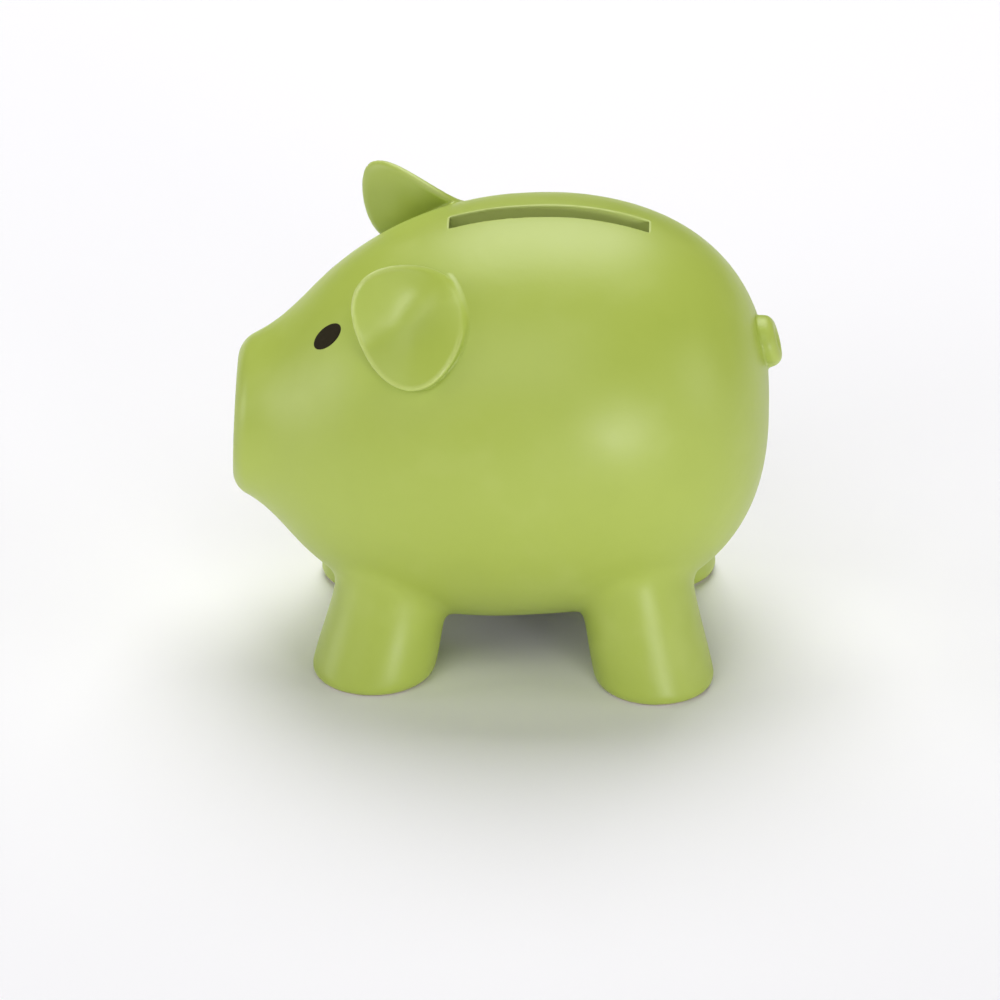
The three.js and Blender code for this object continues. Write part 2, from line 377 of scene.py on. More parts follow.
def upright_disc(p, radius, bottom, top):
    side = np.hypot(p[:, 0] - HOLE_X, p[:, 1]) - radius
    return np.maximum(side, np.maximum(bottom - p[:, 2], p[:, 2] - top))


def bank_outside(p, shape):
    """The bank's outer form, with no holes."""
    form = soft_join(trunk(p), snout(p), shape.snout_blend / MM * BLEND_REACH)
    for place in (FRONT_LEG, HIND_LEG):
        form = soft_join(form, leg(p, place), shape.leg_blend / MM * BLEND_REACH)
    return soft_cut(form, nostril(p), NOSTRIL_EDGE)


def slot(p, shape):
    """The upright opening for the coins."""
    along = np.abs(p[:, 0] - SLOT_MIDDLE_X) - shape.slot_length / MM / 2.0
    across = np.abs(p[:, 1]) - shape.slot_width / MM / 2.0
    return np.maximum(rounded(along, across, SLOT_CORNER), SLOT_BOTTOM_Z - p[:, 2])


def bank_shell(p, shape):
    """The hollow bank with its coin slot and belly hole."""
    inside = trunk(p, shape.wall / MM)
    inside = np.maximum(inside, -upright_disc(p, COLLAR_RADIUS, 0.0, COLLAR_TOP))
    shell = np.maximum(bank_outside(p, shape), -inside)
    shell = soft_cut(shell, upright_disc(p, HOLE_RADIUS, 0.0, HOLE_TOP), HOLE_EDGE)
    shell = soft_cut(shell, upright_disc(p, FLANGE_RADIUS + GAP, 0.0, SEAT_Z), HOLE_EDGE)
    return soft_cut(shell, slot(p, shape), shape.slot_edge / MM)


def ear_axes():
    """The ear's own directions: toward the rump, toward the crown and off the face."""
    outward = np.array(
        [
            -math.sin(EAR_TURN) * math.cos(EAR_TILT),
            -math.cos(EAR_TURN) * math.cos(EAR_TILT),
            math.sin(EAR_TILT),
        ]
    )
    across = np.array([1.0, 0.0, 0.0]) - outward[0] * outward
    across = across / np.linalg.norm(across)
    return across, np.cross(outward, across), outward


def ear_leaf(p, shape):
    """One ear on its own, on the left side."""
    across, up, outward = ear_axes()
    local = p - EAR_CENTRE
    u = local @ across
    w = local @ up
    h = local @ outward
    angle = np.arctan2(w, u)
    tip = np.maximum(np.cos(angle - EAR_TIP_ANGLE), 0.0) ** 6
    root = np.maximum(np.cos(angle - EAR_ROOT_ANGLE), 0.0) ** 6
    crown = np.maximum(np.cos(angle - EAR_CROWN_ANGLE), 0.0) ** 6
    front = np.maximum(np.cos(angle - EAR_FRONT_ANGLE), 0.0) ** 6
    lobes = 1.0 + EAR_TIP_LOBE * tip + EAR_ROOT_LOBE * root + EAR_CROWN_LOBE * crown
    lobes = lobes - EAR_FRONT_LOBE * front
    reach = shape.ear_radius / MM * lobes
    from_middle = np.hypot(u, w)
    curl = np.zeros(len(p))
    for toward, strength in (
        (EAR_TIP_ANGLE, EAR_TIP_CURL),
        (EAR_CROWN_ANGLE, EAR_CROWN_CURL),
        (EAR_FRONT_ANGLE, EAR_FRONT_CURL),
    ):
        curl += strength * np.maximum(u * math.cos(toward) + w * math.sin(toward), 0.0) ** 2
    bend = EAR_TWIST * u * w + EAR_SLOPE * w
    hollow = shape.ear_dish / MM * (1.0 - ease(from_middle / reach))
    thickness = shape.ear_thickness / MM
    middle = EAR_LIFT + bend + curl - hollow - thickness / 2.0
    across_leaf = np.abs(h - middle) - thickness / 2.0
    return rounded(from_middle - reach, across_leaf, thickness * EAR_EDGE_SHARE)


def rooted(form, p, shape):
    """A form joined to the body, without the body away from the join."""
    reach = shape.root_blend / MM
    body = bank_outside(p, shape)
    joined = soft_join(form, body + ROOT_SINK, reach)
    kept = np.maximum(joined, form - ROOT_SKIRT * reach)
    return np.maximum(kept, -(body + ROOT_DEPTH))


def tail_path(steps):
    """Points along the tail's middle, from the rump round to its tip, with the share of the way."""
    along = np.linspace(0.0, 1.0, steps)
    angle = np.radians(TAIL_START_DEGREES + TAIL_SWEEP_DEGREES * along)
    reach = TAIL_CURL * (1.0 - TAIL_COIL_TIGHTENING * along)
    out = TAIL_OUT_START + TAIL_OUT_RUN * along
    y = reach * np.cos(angle)
    z = reach * np.sin(angle)
    x = out * math.cos(TAIL_TILT) - z * math.sin(TAIL_TILT)
    z = out * math.sin(TAIL_TILT) + z * math.cos(TAIL_TILT)
    return np.stack([x, y, z], axis=1) + TAIL_CENTRE, along


def tail_coil(p, shape):
    points, along = tail_path(36)
    radius = shape.tail_radius / MM * (1.0 - TAIL_TAPER * along**2)
    nearest = np.full(len(p), 1e9)
    for i in range(len(points) - 1):
        start = points[i]
        run = points[i + 1] - start
        at = np.clip((p - start) @ run / (run @ run), 0.0, 1.0)
        away = np.linalg.norm(p - start - at[:, None] * run, axis=1)
        nearest = np.minimum(nearest, away - radius[i] - (radius[i + 1] - radius[i]) * at)
    return nearest


def stopper(p):
    """The belly stopper: a domed flange, a hollow neck with a bead and a finger grip."""
    away = np.hypot(p[:, 0] - HOLE_X, p[:, 1])
    z = p[:, 2]
    neck = HOLE_RADIUS - GAP
    dome = FLANGE_MIDDLE_Z + (FLANGE_EDGE_Z - FLANGE_MIDDLE_Z) * (away / FLANGE_RADIUS) ** 2
    thick = np.maximum(dome - z, z - (SEAT_Z - GAP))
    flange = rounded(away - FLANGE_RADIUS, thick, 0.5)
    bead = np.exp(-(((z - SEAT_Z - 1.4) / 0.5) ** 2))
    wall = np.abs(away - (neck - 1.5) - 0.25 * bead) - 1.0 - 0.25 * bead
    tube = rounded(wall, np.maximum(SEAT_Z - 2.0 - z, z - COLLAR_TOP), 0.4)
    plug = soft_join(flange, tube, 0.6)
    recess = np.maximum(away - GRIP_RADIUS, z - FLANGE_MIDDLE_Z - GRIP_DEPTH)
    plug = soft_cut(plug, recess, 0.7)
    x = np.abs(p[:, 0] - HOLE_X) - GRIP_RADIUS - 0.5
    y = np.abs(p[:, 1]) - 1.4
    bar_z = np.abs(z - FLANGE_MIDDLE_Z - GRIP_DEPTH / 2.0 - 0.45) - GRIP_DEPTH / 2.0
    bar = np.maximum(rounded(y, bar_z, 0.5), x)
    ribs = 0.12 * np.cos((p[:, 0] - HOLE_X) * 2.0 * math.pi / 1.6)
    return soft_join(plug, bar - ribs * (np.abs(p[:, 1]) < 1.6), 0.6)


# ---- From a field to a mesh ----
def grid_lines(low, high, pitch, bands=()):
    """Grid lines at that pitch, closer together inside each (start, end, finer pitch) band."""
    lines = [low]
    while lines[-1] < high:
        here = lines[-1]
        step = pitch
        for start, end, fine in bands:
            if start - 1e-6 <= here < end:
                step = min(step, fine)
            if here < start - 1e-6 < here + step:
                step = start - here
        lines.append(here + step)
    return np.array(lines)


def cell_edges():
    """The twelve edges of a grid cell, as pairs of corners."""
    edges = []
    for axis in range(3):
        for one in (0, 1):
            for two in (0, 1):
                start = np.zeros(3, int)
                start[(axis + 1) % 3] = one
                start[(axis + 2) % 3] = two
                end = start.copy()
                end[axis] = 1
                edges.append((start, end))
    return edges


def crossing_points(value, place, cells):
    """For each cell, the middle of the points where its edges cross the surface."""
    total = np.zeros((len(cells), 3))
    hits = np.zeros(len(cells))
    for start, end in cell_edges():
        first = tuple((cells + start).T)
        last = tuple((cells + end).T)
        a = value[first]
        b = value[last]
        crossed = (a < 0.0) != (b < 0.0)
        at = np.where(crossed, a / np.where(crossed, a - b, 1.0), 0.0)
        point = place[first] + at[:, None] * (place[last] - place[first])
        total += np.where(crossed[:, None], point, 0.0)
        hits += crossed
    return total / hits[:, None]


def cell_faces(inside, number):
    """Four-sided faces between the cells round each grid edge that crosses the surface."""
    faces = []
    for axis in range(3):
        b = np.eye(3, dtype=int)[(axis + 1) % 3]
        c = np.eye(3, dtype=int)[(axis + 2) % 3]
        a = np.eye(3, dtype=int)[axis]
        ends = tuple(slice(1, None) if a[i] else slice(None) for i in range(3))
        starts = tuple(slice(None, -1) if a[i] else slice(None) for i in range(3))
        crossed = np.argwhere(inside[starts] != inside[ends])
        limit = np.array(number.shape)
        within = np.all((crossed - b - c >= 0) & (crossed < limit), axis=1)
        crossed = crossed[within]
        outward = inside[tuple(crossed.T)]
        ring = [crossed - b - c, crossed - c, crossed, crossed - b]
        corners = np.stack([number[tuple(cell.T)] for cell in ring], axis=1)
        faces.append(np.where(outward[:, None], corners, corners[:, ::-1]))
    return np.concatenate(faces)


def slope(field, points):
    """The direction in which the field grows, and how fast."""
    step = 0.02
    columns = []
    for axis in range(3):
        shift = np.zeros(3)
        shift[axis] = step
        columns.append((field(points + shift) - field(points - shift)) / (2.0 * step))
    return np.stack(columns, axis=1)


def onto_surface(field, points, rounds):
    """The points moved along the field's slope until they lie on the surface."""
    for _ in range(rounds):
        grow = slope(field, points)
        steep = np.maximum((grow * grow).sum(axis=1), 0.05)
        step = (field(points) / steep)[:, None] * grow
        size = np.linalg.norm(step, axis=1, keepdims=True)
        points = points - step * np.minimum(1.0, 0.5 / np.maximum(size, 1e-9))
    return points


def relaxed(points, faces, strength):
    """The points moved toward the middle of their neighbours."""
    total = np.zeros_like(points)
    count = np.zeros(len(points))
    for i in range(4):
        here = faces[:, i]
        there = faces[:, (i + 1) % 4]
        for one, two in ((here, there), (there, here)):
            np.add.at(total, one, points[two])
            np.add.at(count, one, 1.0)
    middle = total / np.maximum(count, 1.0)[:, None]
    return points + strength * (middle - points)


def roundness_of(points, faces, normals):
    """How sharply the surface bends outward at each point, in turns for each millimetre."""
    total = np.zeros(len(points))
    count = np.zeros(len(points))
    for i in range(4):
        here = faces[:, i]
        there = faces[:, (i + 1) % 4]
        for one, two in ((here, there), (there, here)):
            run = points[one] - points[two]
            squared = np.maximum((run * run).sum(axis=1), 1e-6)
            bend = 2.0 * (run * normals[one]).sum(axis=1) / squared
            np.add.at(total, one, bend)
            np.add.at(count, one, 1.0)
    return total / np.maximum(count, 1.0)


def surface_of(field, xs, ys, zs, smoothing=2):
    """Points and four-sided faces of the surface where the field is zero."""
    place = np.stack(np.meshgrid(xs, ys, zs, indexing="ij"), axis=-1)
    value = field(place.reshape(-1, 3)).reshape(place.shape[:3])
    inside = value < 0.0
    count = tuple(n - 1 for n in value.shape)
    filled = np.zeros(count, int)
    for i in (0, 1):
        for j in (0, 1):
            for k in (0, 1):
                filled += inside[i : i + count[0], j : j + count[1], k : k + count[2]]
    cells = np.argwhere((filled > 0) & (filled < 8))
    number = np.full(count, -1)
    number[tuple(cells.T)] = np.arange(len(cells))
    points = crossing_points(value, place, cells)
    faces = cell_faces(inside, number)
    points = onto_surface(field, points, 2)
    for _ in range(smoothing):
        points = relaxed(points, faces, 0.4)
        points = onto_surface(field, points, 1)
    return onto_surface(field, points, 2), faces


def add_piece(name, points, faces, body, node, material):
    """Makes a smooth mesh that rides on a body and stands for a node of the frame."""
    mesh = bpy.data.meshes.new(name)
    mesh.from_pydata((points * MM).tolist(), [], faces.tolist())
    mesh.update()
    mesh.shade_smooth()
    piece = bpy.data.objects.new(name, mesh)
    bpy.context.scene.collection.objects.link(piece)
    mesh.materials.append(material)
    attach(piece, body)
    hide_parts(node)
    return piece


def mark_bends(piece, points, faces, normals, thin_glaze_and_painted_light=None):
    """Stores where the surface is an outer edge or given painted light, and where it is a hollow.
    """
    bend = roundness_of(points, faces, normals)
    for _ in range(2):
        bend = spread(bend, faces)
    edge = ease((bend - 0.15) / 0.9)
    # Painted light: places given here (the slot's walls) join the edge mark and take the lighter
    # thin-glaze colour.
    if thin_glaze_and_painted_light is not None:
        edge = np.maximum(edge, thin_glaze_and_painted_light(points))
    hollow = ease((-bend - 0.05) / 0.5)
    for name, values in (("edge", edge), ("hollow", hollow)):
        attribute = piece.data.attributes.new(name, "FLOAT", "POINT")
        attribute.data.foreach_set("value", values.astype(np.float32))


def spread(values, faces):
    """Values evened out a little over neighbouring points."""
    total = np.zeros(len(values))
    count = np.zeros(len(values))
    mean = values[faces].mean(axis=1)
    for i in range(4):
        np.add.at(total, faces[:, i], mean)
        np.add.at(count, faces[:, i], 1.0)
    return total / np.maximum(count, 1.0)


def add_form(name, field, lines, body, node, material, smoothing=2, thin_glaze_and_painted_light=None):
    """Makes a piece from a field on a grid."""
    points, faces = surface_of(field, *lines, smoothing=smoothing)
    normals = slope(field, points)
    normals = normals / np.maximum(np.linalg.norm(normals, axis=1, keepdims=True), 1e-9)
    piece = add_piece(name, points, faces, body, node, material)
    mark_bends(piece, points, faces, normals, thin_glaze_and_painted_light)
    return piece


def lines_round(low, high, pitch):
    """Grid lines for a box, a little larger than it on every side."""
    return [grid_lines(a - 2.0 * pitch, b + 2.0 * pitch, pitch) for a, b in zip(low, high)]


def node_box(name, margin):
    """A node's box in millimetres, grown by a margin."""
    low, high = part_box(name)
    return np.array(low) / MM - margin, np.array(high) / MM + margin


# ---- Materials ----
def new_group(name, inputs, outputs):
    """A shader node group with those named inputs and outputs, and its two end nodes."""
    group = bpy.data.node_groups.new(name, "ShaderNodeTree")
    for label, kind, default in inputs:
        socket = group.interface.new_socket(label, in_out="INPUT", socket_type=kind)
        if default is not None:
            socket.default_value = default
    for label, kind in outputs:
        group.interface.new_socket(label, in_out="OUTPUT", socket_type=kind)
    return group, group.nodes.new("NodeGroupInput"), group.nodes.new("NodeGroupOutput")


def noise(tree, vector, scale, detail, roughness=0.5):
    node = tree.nodes.new("ShaderNodeTexNoise")
    node.inputs["Detail"].default_value = detail
    node.inputs["Roughness"].default_value = roughness
    if isinstance(scale, (int, float)):
        node.inputs["Scale"].default_value = scale
    else:
        tree.links.new(scale, node.inputs["Scale"])
    tree.links.new(vector, node.inputs["Vector"])
    return node.outputs["Fac"]


def math_node(tree, operation, a, b=None, clamp=False):
    node = tree.nodes.new("ShaderNodeMath")
    node.operation = operation
    node.use_clamp = clamp
    for socket, value in zip(node.inputs, (a, b)):
        if value is None:
            continue
        if isinstance(value, (int, float)):
            socket.default_value = value
        else:
            tree.links.new(value, socket)
    return node.outputs[0]


def remap(tree, value, low, high, to_low, to_high):
    node = tree.nodes.new("ShaderNodeMapRange")
    node.interpolation_type = "SMOOTHSTEP"
    tree.links.new(value, node.inputs["Value"])
    labels = ("From Min", "From Max", "To Min", "To Max")
    for label, number in zip(labels, (low, high, to_low, to_high)):
        node.inputs[label].default_value = number
    return node.outputs["Result"]


def mix_colour(tree, factor, a, b):
    node = tree.nodes.new("ShaderNodeMix")
    node.data_type = "RGBA"
    sockets = {s.identifier: s for s in node.inputs}
    wanted = (("Factor_Float", factor), ("A_Color", a), ("B_Color", b))
    for label, value in wanted:
        socket = sockets[label]
        if isinstance(value, (int, float)):
            socket.default_value = value
        elif isinstance(value, tuple):
            socket.default_value = value
        else:
            tree.links.new(value, socket)
    return {s.identifier: s for s in node.outputs}["Result_Color"]


def glaze_tone_group():
    """Slow changes of tone, thin glaze on edges and thick glaze in hollows."""
    group, start, end = new_group(
        "Glaze tone",
        [
            ("Vector", "NodeSocketVector", None),
            ("Edge", "NodeSocketFloat", 0.0),
            ("Hollow", "NodeSocketFloat", 0.0),
            ("Mottling", "NodeSocketFloat", 0.3),
            ("Main", "NodeSocketColor", None),
            ("Thin", "NodeSocketColor", None),
            ("Thick", "NodeSocketColor", None),
        ],
        [("Colour", "NodeSocketColor"), ("Tone", "NodeSocketFloat")],
    )
    vector = start.outputs["Vector"]
    clouds = noise(group, vector, 38.0, 3.0)
    drift = noise(group, vector, 150.0, 2.0)
    tone = math_node(
        group,
        "ADD",
        math_node(group, "MULTIPLY", clouds, 0.7),
        math_node(group, "MULTIPLY", drift, 0.3),
    )
    lighter = remap(group, tone, 0.5, 0.75, 0.0, 1.0)
    darker = remap(group, tone, 0.5, 0.25, 0.0, 1.0)
    strength = start.outputs["Mottling"]
    lighter = math_node(group, "MULTIPLY", lighter, strength)
    darker = math_node(group, "MULTIPLY", darker, strength)
    thin_glaze_and_painted_light = math_node(group, "MULTIPLY", lighter, 0.5)
    # The Edge input also carries painted light on the slot's walls, which takes the thin-glaze
    # colour.
    thin_glaze_and_painted_light = math_node(group, "MAXIMUM", thin_glaze_and_painted_light, start.outputs["Edge"])
    thick = math_node(group, "MULTIPLY", darker, 0.5)
    thick = math_node(group, "MAXIMUM", thick, start.outputs["Hollow"])
    paint = mix_colour(group, thick, start.outputs["Main"], start.outputs["Thick"])
    paint = mix_colour(group, thin_glaze_and_painted_light, paint, start.outputs["Thin"])
    group.links.new(paint, end.inputs["Colour"])
    group.links.new(tone, end.inputs["Tone"])
    return group


def fine_relief_group():
    """The height of a finish's unevenness at two sizes, and a mask of fine grain."""
    group, start, end = new_group(
        "Fine relief",
        [
            ("Vector", "NodeSocketVector", None),
            ("Broad scale", "NodeSocketFloat", 300.0),
            ("Fine scale", "NodeSocketFloat", 2500.0),
            ("Fine share", "NodeSocketFloat", 0.2),
        ],
        [("Height", "NodeSocketFloat"), ("Grain", "NodeSocketFloat")],
    )
    broad = noise(group, start.outputs["Vector"], start.outputs["Broad scale"], 2.0)
    fine = noise(group, start.outputs["Vector"], start.outputs["Fine scale"], 2.0)
    fine_part = math_node(group, "MULTIPLY", fine, start.outputs["Fine share"])
    group.links.new(math_node(group, "ADD", broad, fine_part), end.inputs["Height"])
    group.links.new(fine, end.inputs["Grain"])
    return group


def shared_group(name, build):
    """The node group of that name, built the first time it is asked for."""
    return bpy.data.node_groups.get(name) or build()


def placed(tree, group, **values):
    node = tree.nodes.new("ShaderNodeGroup")
    node.node_tree = group
    for label, value in values.items():
        socket = node.inputs[label.replace("_", " ")]
        if isinstance(value, (int, float, tuple)):
            socket.default_value = value
        else:
            tree.links.new(value, socket)
    return node


def attribute(tree, name):
    node = tree.nodes.new("ShaderNodeAttribute")
    node.attribute_name = name
    return node.outputs["Fac"]


def new_material(name):
    """A material with nodes, its tree, its main shader and its object coordinates."""
    material = bpy.data.materials.new(name)
    material.use_nodes = True
    tree = material.node_tree
    shader = tree.nodes["Principled BSDF"]
    place = tree.nodes.new("ShaderNodeTexCoord").outputs["Object"]
    return material, tree, shader, place


def add_bump(tree, shader, height, strength, distance):
    bump = tree.nodes.new("ShaderNodeBump")
    bump.inputs["Strength"].default_value = strength
    bump.inputs["Distance"].default_value = distance
    tree.links.new(height, bump.inputs["Height"])
    tree.links.new(bump.outputs["Normal"], shader.inputs["Normal"])


def full(value):
    """A colour with full opacity."""
    return (*value, 1.0)


def glaze_material(finish):
    """Satin glaze, thinner on edges, with painted light on the slot's walls, and bare under the
    feet.
    """
    known = bpy.data.materials.get("satin_glaze")
    if known:
        return known
    material, tree, shader, place = new_material("satin_glaze")
    tone = placed(
        tree,
        shared_group("Glaze tone", glaze_tone_group),
        Vector=place,
        Edge=attribute(tree, "edge"),
        Hollow=math_node(tree, "MULTIPLY", attribute(tree, "hollow"), 0.7),
        Mottling=finish.mottling,
        Main=full(finish.glaze),
        Thin=full(finish.glaze_thin),
        Thick=full(finish.glaze_thick),
    )
    relief = placed(
        tree,
        shared_group("Fine relief", fine_relief_group),
        Vector=place,
        Broad_scale=420.0,
        Fine_scale=3200.0,
        Fine_share=0.12,
    )
    height = tree.nodes.new("ShaderNodeSeparateXYZ")
    tree.links.new(place, height.inputs["Vector"])
    wander = math_node(tree, "MULTIPLY", noise(tree, place, 500.0, 3.0), 0.0009)
    above = math_node(tree, "SUBTRACT", height.outputs["Z"], wander)
    bare = remap(tree, above, -0.0001, 0.0001, 1.0, 0.0)
    darker_clay = [0.82 * c for c in finish.bare_clay]
    clay = mix_colour(tree, relief.outputs["Grain"], full(finish.bare_clay), full(darker_clay))
    paint = mix_colour(tree, bare, tone.outputs["Colour"], clay)
    tree.links.new(paint, shader.inputs["Base Color"])
    satin = remap(tree, tone.outputs["Tone"], 0.3, 0.7, 0.36, 0.44)
    rough = math_node(tree, "MAXIMUM", satin, math_node(tree, "MULTIPLY", bare, 0.9))
    tree.links.new(rough, shader.inputs["Roughness"])
    shader.inputs["IOR"].default_value = 1.5
    add_bump(tree, shader, relief.outputs["Height"], finish.orange_peel, 0.00012)
    return material


def eye_material(finish):
    """Flat dark paint with a slightly uneven coat."""
    known = bpy.data.materials.get("dark_eye_paint")
    if known:
        return known
    material, tree, shader, place = new_material("dark_eye_paint")
    relief = placed(
        tree,
        shared_group("Fine relief", fine_relief_group),
        Vector=place,
        Broad_scale=900.0,
        Fine_scale=4200.0,
        Fine_share=0.3,
    )
    lighter = tuple(min(1.0, 1.6 * c + 0.004) for c in finish.eye_paint)
    paint = mix_colour(tree, relief.outputs["Grain"], full(finish.eye_paint), full(lighter))
    tree.links.new(paint, shader.inputs["Base Color"])
    rough = remap(tree, relief.outputs["Height"], 0.4, 0.8, 0.6, 0.72)
    tree.links.new(rough, shader.inputs["Roughness"])
    shader.inputs["Specular IOR Level"].default_value = 0.08
    add_bump(tree, shader, relief.outputs["Height"], 0.2, 0.00005)
    return material


def rubber_material(finish):
    """Soft matt rubber, a little paler along its edges."""
    material, tree, shader, place = new_material("stopper_rubber")
    relief = placed(
        tree,
        shared_group("Fine relief", fine_relief_group),
        Vector=place,
        Broad_scale=260.0,
        Fine_scale=2600.0,
        Fine_share=0.6,
    )
    paler = tuple(min(1.0, 2.1 * c + 0.02) for c in finish.rubber)
    worn = math_node(tree, "MULTIPLY", attribute(tree, "edge"), relief.outputs["Grain"])
    paint = mix_colour(tree, worn, full(finish.rubber), full(paler))
    tree.links.new(paint, shader.inputs["Base Color"])
    rough = remap(tree, relief.outputs["Height"], 0.4, 1.1, 0.68, 0.86)
    tree.links.new(rough, shader.inputs["Roughness"])
    shader.inputs["Specular IOR Level"].default_value = 0.35
    add_bump(tree, shader, relief.outputs["Height"], 0.35, 0.00008)
    return material


def mix_shaders(tree, factor, a, b):
    """A mix of two shaders, where 0 gives the first one."""
    node = tree.nodes.new("ShaderNodeMixShader")
    tree.links.new(factor, node.inputs[0])
    tree.links.new(a.outputs[0], node.inputs[1])
    tree.links.new(b.outputs[0], node.inputs[2])
    return node


def floor_material(stage):
    """A plain pale floor that runs out into white and can't be seen from below."""
    material, tree, shader, place = new_material("pale_floor")
    paper = noise(tree, place, 900.0, 2.0)
    lift = tuple(min(1.0, c + 0.004) for c in stage.floor)
    paint = mix_colour(tree, paper, full(stage.floor), full(lift))
    tree.links.new(paint, shader.inputs["Base Color"])
    shader.inputs["Roughness"].default_value = 0.9
    shader.inputs["Specular IOR Level"].default_value = 0.0
    away = tree.nodes.new("ShaderNodeVectorMath")
    away.operation = "LENGTH"
    tree.links.new(place, away.inputs[0])
    far = remap(tree, away.outputs["Value"], FLOOR_FADE[0], FLOOR_FADE[1], 0.0, 1.0)
    seen = tree.nodes.new("ShaderNodeLightPath").outputs["Is Camera Ray"]
    white = tree.nodes.new("ShaderNodeEmission")
    white.inputs["Color"].default_value = SURROUND_WHITE
    ground = mix_shaders(tree, math_node(tree, "MULTIPLY", far, seen), shader, white)
    clear = tree.nodes.new("ShaderNodeBsdfTransparent")
    below = tree.nodes.new("ShaderNodeNewGeometry").outputs["Backfacing"]
    both = mix_shaders(tree, below, ground, clear)
    tree.links.new(both.outputs[0], tree.nodes["Material Output"].inputs["Surface"])
    return material


# ---- Pieces ----
def body_lines():
    """Grid lines for the shell, closer together round the slot, the snout's rim and the soles."""
    snout_rim = (-53.2, -48.4, 0.55)
    slot_ends = [(-12.0, -10.7, 0.16), (26.1, 27.4, 0.16)]
    xs = grid_lines(-56.0, 53.0, 1.15, [snout_rim, *slot_ends])
    ys = grid_lines(-41.0, 41.0, 1.15, [(-3.15, -1.95, 0.16), (1.95, 3.15, 0.16)])
    zs = grid_lines(-1.2, 91.0, 1.15, [(-1.2, 3.6, 0.6), (84.2, 89.0, 0.3)])
    return [xs, ys, zs]


def make_shell(shape, finish):
    def field(p):
        return bank_shell(p, shape)

    # Painted light: the slot's walls take the lighter thin-glaze colour to lift the shade inside
    # the slot.
    def slot_wall_painted_light(p):
        return ease((0.6 - slot(p, shape)) / 0.4) * ease((-0.25 - bank_outside(p, shape)) / 0.3)

    lines = body_lines()
    glaze = glaze_material(finish)
    return add_form(
        "bank_shell", field, lines, "bank", "body_shell", glaze, 1, slot_wall_painted_light
    )


def make_ear(side, node, shape, finish):
    """An ear on one side: side is -1 for the left ear and 1 for the right one."""
    mirror = np.array([1.0, -float(side), 1.0])

    def field(p):
        q = p * mirror
        return rooted(ear_leaf(q, shape), q, shape)

    low, high = node_box(node, 4.5)
    lines = lines_round(low, high, 0.42)
    glaze = glaze_material(finish)
    return add_form(node + "_leaf", field, lines, "bank", node, glaze)


def make_tail(shape, finish):
    def field(p):
        return rooted(tail_coil(p, shape), p, shape)

    low, high = node_box("tail", 4.5)
    lines = lines_round(low, high, 0.36)
    glaze = glaze_material(finish)
    return add_form("tail_coil", field, lines, "bank", "tail", glaze)


def head_point(angle, x, side):
    """A point of the head's skin at an angle round its axis."""
    radius = float(skin_radius(x))
    y = side * radius * float(width_ratio(x)) * math.cos(angle)
    return np.array([x, y, float(axis_z(x)) + radius * math.sin(angle)])


def skin_radius(x):
    """Distance of the head's skin from the axis at a place along it."""
    across = abs((x - TRUNK_MIDDLE_X) / TRUNK_FRONT) ** FRONT_ROUNDNESS
    return TRUNK_HALF_HEIGHT * (1.0 - across) ** (1.0 / FRONT_ROUNDNESS)


def make_eye(side, node, shape, finish):
    """A painted dot that follows the head, a hair's breadth proud, with its rim let in."""

    def body(p):
        return bank_outside(p, shape)

    centre = onto_surface(body, head_point(EYE_LIFT, EYE_X, side)[None, :], 6)
    outward = slope(body, centre)[0]
    outward = outward / np.linalg.norm(outward)
    along = np.array([1.0, 0.0, 0.0]) - outward[0] * outward
    along = along / np.linalg.norm(along)
    upward = np.cross(outward, along)
    # On the right side this makes the frame left-handed, so that eye's faces point inward.
    upward = upward * np.sign(upward[2])
    long_way = math.cos(EYE_TURN) * along + math.sin(EYE_TURN) * upward
    short_way = math.cos(EYE_TURN) * upward - math.sin(EYE_TURN) * along
    points = [centre[0]]
    lifts = [EYE_COAT]
    for ring in range(1, EYE_RINGS + 1):
        out = ring / EYE_RINGS
        for turn in range(EYE_TURNS):
            angle = 2.0 * math.pi * turn / EYE_TURNS
            flat = shape.eye_length / MM * out * math.cos(angle) * long_way
            flat = flat + shape.eye_height / MM * out * math.sin(angle) * short_way
            points.append(centre[0] + flat)
            lifts.append(EYE_COAT * (1.0 - out**6) ** 0.5 - EYE_RIM * out**12)
    points = onto_surface(body, np.array(points), 5)
    normals = slope(body, points)
    normals = normals / np.linalg.norm(normals, axis=1, keepdims=True)
    top = points + normals * np.array(lifts)[:, None]
    under = points - normals * EYE_DEPTH
    every = np.concatenate([top, under])
    faces = np.array(dot_faces(EYE_RINGS, EYE_TURNS, len(top)), dtype=object)
    paint = eye_material(finish)
    return add_piece(node + "_dot", every, faces, "bank", node, paint)


def dot_faces(rings, turns, count):
    """Faces of a round dot: its top, its underside and the wall between them."""
    faces = []
    for turn in range(turns):
        after = (turn + 1) % turns
        faces.append([0, 1 + turn, 1 + after])
        faces.append([count, count + 1 + after, count + 1 + turn])
        for ring in range(rings - 1):
            a = 1 + ring * turns
            b = a + turns
            faces.append([a + turn, b + turn, b + after, a + after])
            faces.append([count + a + turn, count + a + after, count + b + after, count + b + turn])
        rim = 1 + (rings - 1) * turns
        faces.append([rim + turn, count + rim + turn, count + rim + after, rim + after])
    return faces


def make_stopper(finish):
    low, high = node_box("belly_stopper", 0.6)
    lines = lines_round(low, high, 0.36)
    rubber = rubber_material(finish)
    return add_form(
        "belly_stopper_plug", stopper, lines, "stopper", "belly_stopper", rubber
    )


# ---- Stage ----
def make_floor(stage):
    mesh = bpy.data.meshes.new("floor")
    half = 6.0
    corners = [(-half, -half, 0.0), (half, -half, 0.0), (half, half, 0.0), (-half, half, 0.0)]
    mesh.from_pydata(corners, [], [(0, 1, 2, 3)])
    floor = bpy.data.objects.new("floor", mesh)
    bpy.context.scene.collection.objects.link(floor)
    mesh.materials.append(floor_material(stage))


def aim(thing, target):
    thing.rotation_euler = (Vector(target) - thing.location).to_track_quat("-Z", "Y").to_euler()


